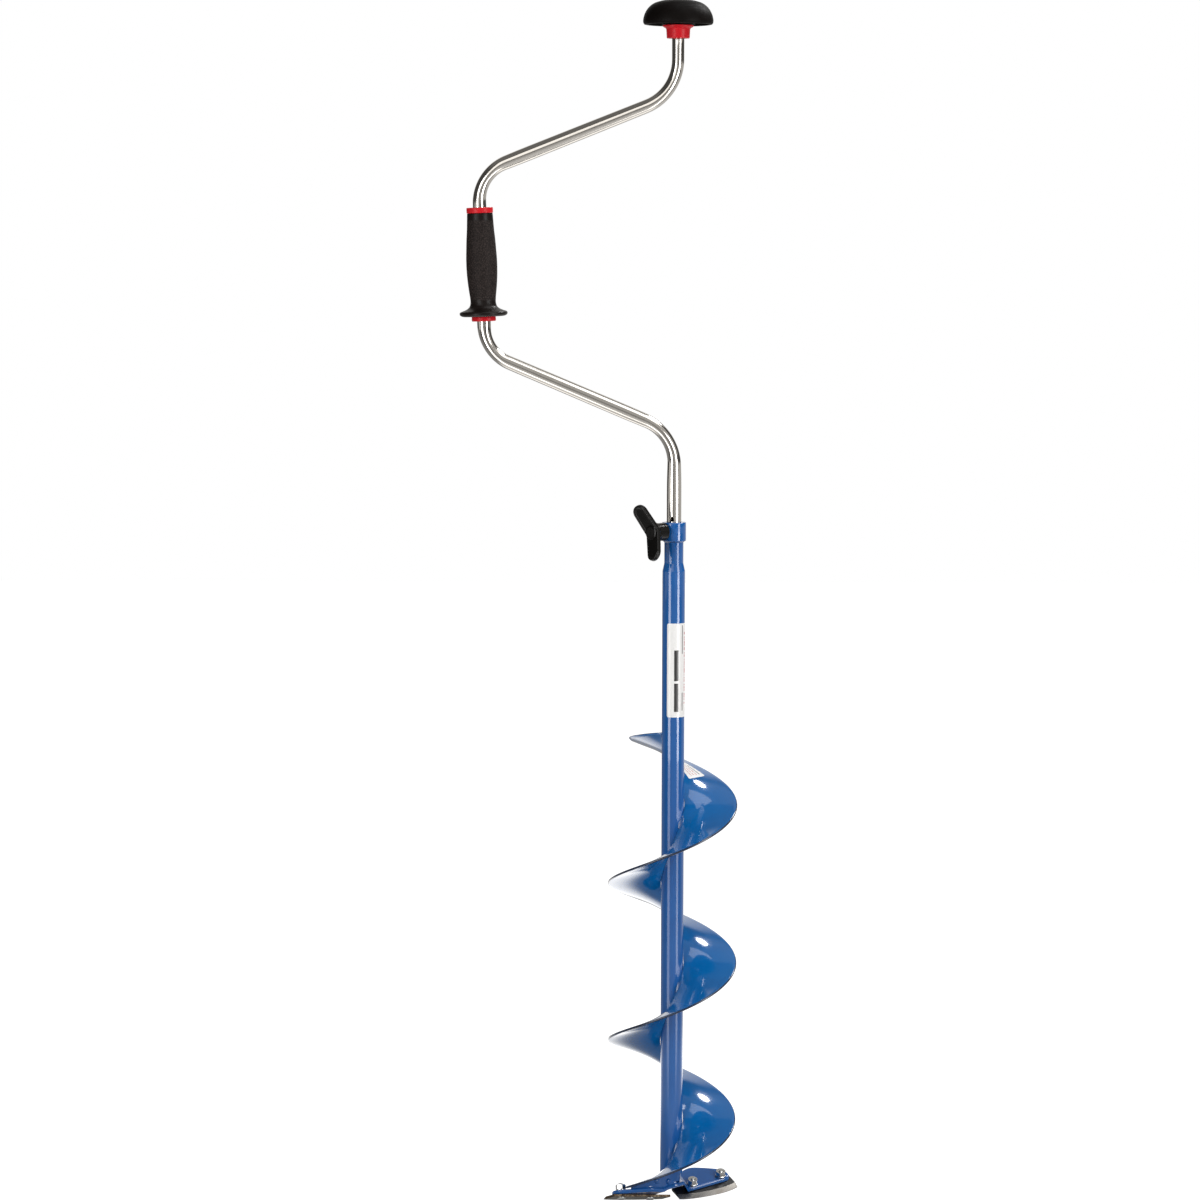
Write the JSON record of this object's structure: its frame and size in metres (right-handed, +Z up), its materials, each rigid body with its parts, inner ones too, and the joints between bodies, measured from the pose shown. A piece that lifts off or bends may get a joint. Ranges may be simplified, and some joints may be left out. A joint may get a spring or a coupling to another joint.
{
  "type": "ice fishing auger",
  "caption": "Hand ice auger: bent crank handle with spinning grip and breast knob, telescoping into a spiral-flighted shaft with a bolted cutting head.",
  "frame": {"origin": "on the auger's turning axis, in the plane of the blade tips", "axes": "+Z runs up the shaft to the breast knob, the crank leg is offset towards -X, and -Y is the side that carries the wing screw"},
  "size_m": [0.2967, 0.1363, 1.2653],
  "materials": {
    "blue_coat": "gloss powder coat",
    "polished_steel": "polished stainless",
    "zinc_steel": "zinc plated",
    "blade_steel": "blackened with a ground edge",
    "black_plastic": "moulded satin",
    "grip_plastic": "stippled",
    "red_plastic": "gloss",
    "white_label": "coated label"
  },
  "bodies": {
    "auger": {"auger_shaft": "blue_coat", "shaft_end_plug": "blue_coat", "clamp_collar": "blue_coat", "spiral_flight": "blue_coat", "flight_weld_1": "blue_coat", "flight_weld_2": "blue_coat", "flight_weld_3": "blue_coat", "flight_weld_4": "blue_coat", "flight_weld_5": "blue_coat", "flight_weld_6": "blue_coat", "cutting_head": "blue_coat", "head_gusset": "blue_coat", "head_rivet_a": "blue_coat", "head_rivet_b": "blue_coat", "blade_a": "blade_steel", "blade_b": "blade_steel", "blade_bolt_a1": "zinc_steel", "blade_bolt_a2": "zinc_steel", "blade_bolt_b1": "zinc_steel", "blade_bolt_b2": "zinc_steel", "blade_nut_a1": "zinc_steel", "blade_nut_a2": "zinc_steel", "blade_nut_b1": "zinc_steel", "blade_nut_b2": "zinc_steel", "blade_washer_a1": "zinc_steel", "blade_washer_a2": "zinc_steel", "blade_washer_b1": "zinc_steel", "blade_washer_b2": "zinc_steel", "shaft_label": "white_label", "flight_label": "white_label"},
    "guide": {"handle_guide_bush": "black_plastic"},
    "crank": {"handle_tube": "polished_steel", "spindle_plug": "zinc_steel", "knob_screw": "zinc_steel", "knob_washer": "zinc_steel"},
    "grip": {"crank_grip": "grip_plastic", "grip_bush_upper": "red_plastic", "grip_bush_lower": "red_plastic"},
    "knob": {"handle_knob": "black_plastic", "knob_cap": "black_plastic", "knob_bush": "red_plastic"},
    "screw_stud": {"wing_screw_stud": "zinc_steel"},
    "screw_wing": {"wing_screw_head": "black_plastic"}
  },
  "joints": [
    {"name": "handle_slide", "type": "slide", "parent": "auger", "child": "guide", "axis": [0, 0, 1], "range_m": [-0.045, 0.18]},
    {"name": "handle_turn", "type": "hinge", "parent": "guide", "child": "crank", "pos_m": [0, 0, 0.44], "axis": [0, 0, 1], "continuous": true},
    {"name": "grip_spin", "type": "hinge", "parent": "crank", "child": "grip", "pos_m": [-0.201, 0, 0.99255], "axis": [-0.0371, 0, 0.9993], "continuous": true},
    {"name": "knob_spin", "type": "hinge", "parent": "crank", "child": "knob", "pos_m": [0.0022, 0, 1.25], "axis": [0, 0, 1], "continuous": true},
    {"name": "wing_screw_travel", "type": "slide", "parent": "auger", "child": "screw_stud", "axis": [-0.7314, -0.682, 0], "range_m": [0, 0.0038]},
    {"name": "wing_screw_turn", "type": "hinge", "parent": "screw_stud", "child": "screw_wing", "pos_m": [0, 0, 0.7156], "axis": [-0.7314, -0.682, 0], "range_deg": [0, 1080]}
  ],
  "couplings": [
    {"joint": "wing_screw_travel", "follows": "wing_screw_turn", "m_per_rad": 0.00019894}
  ]
}
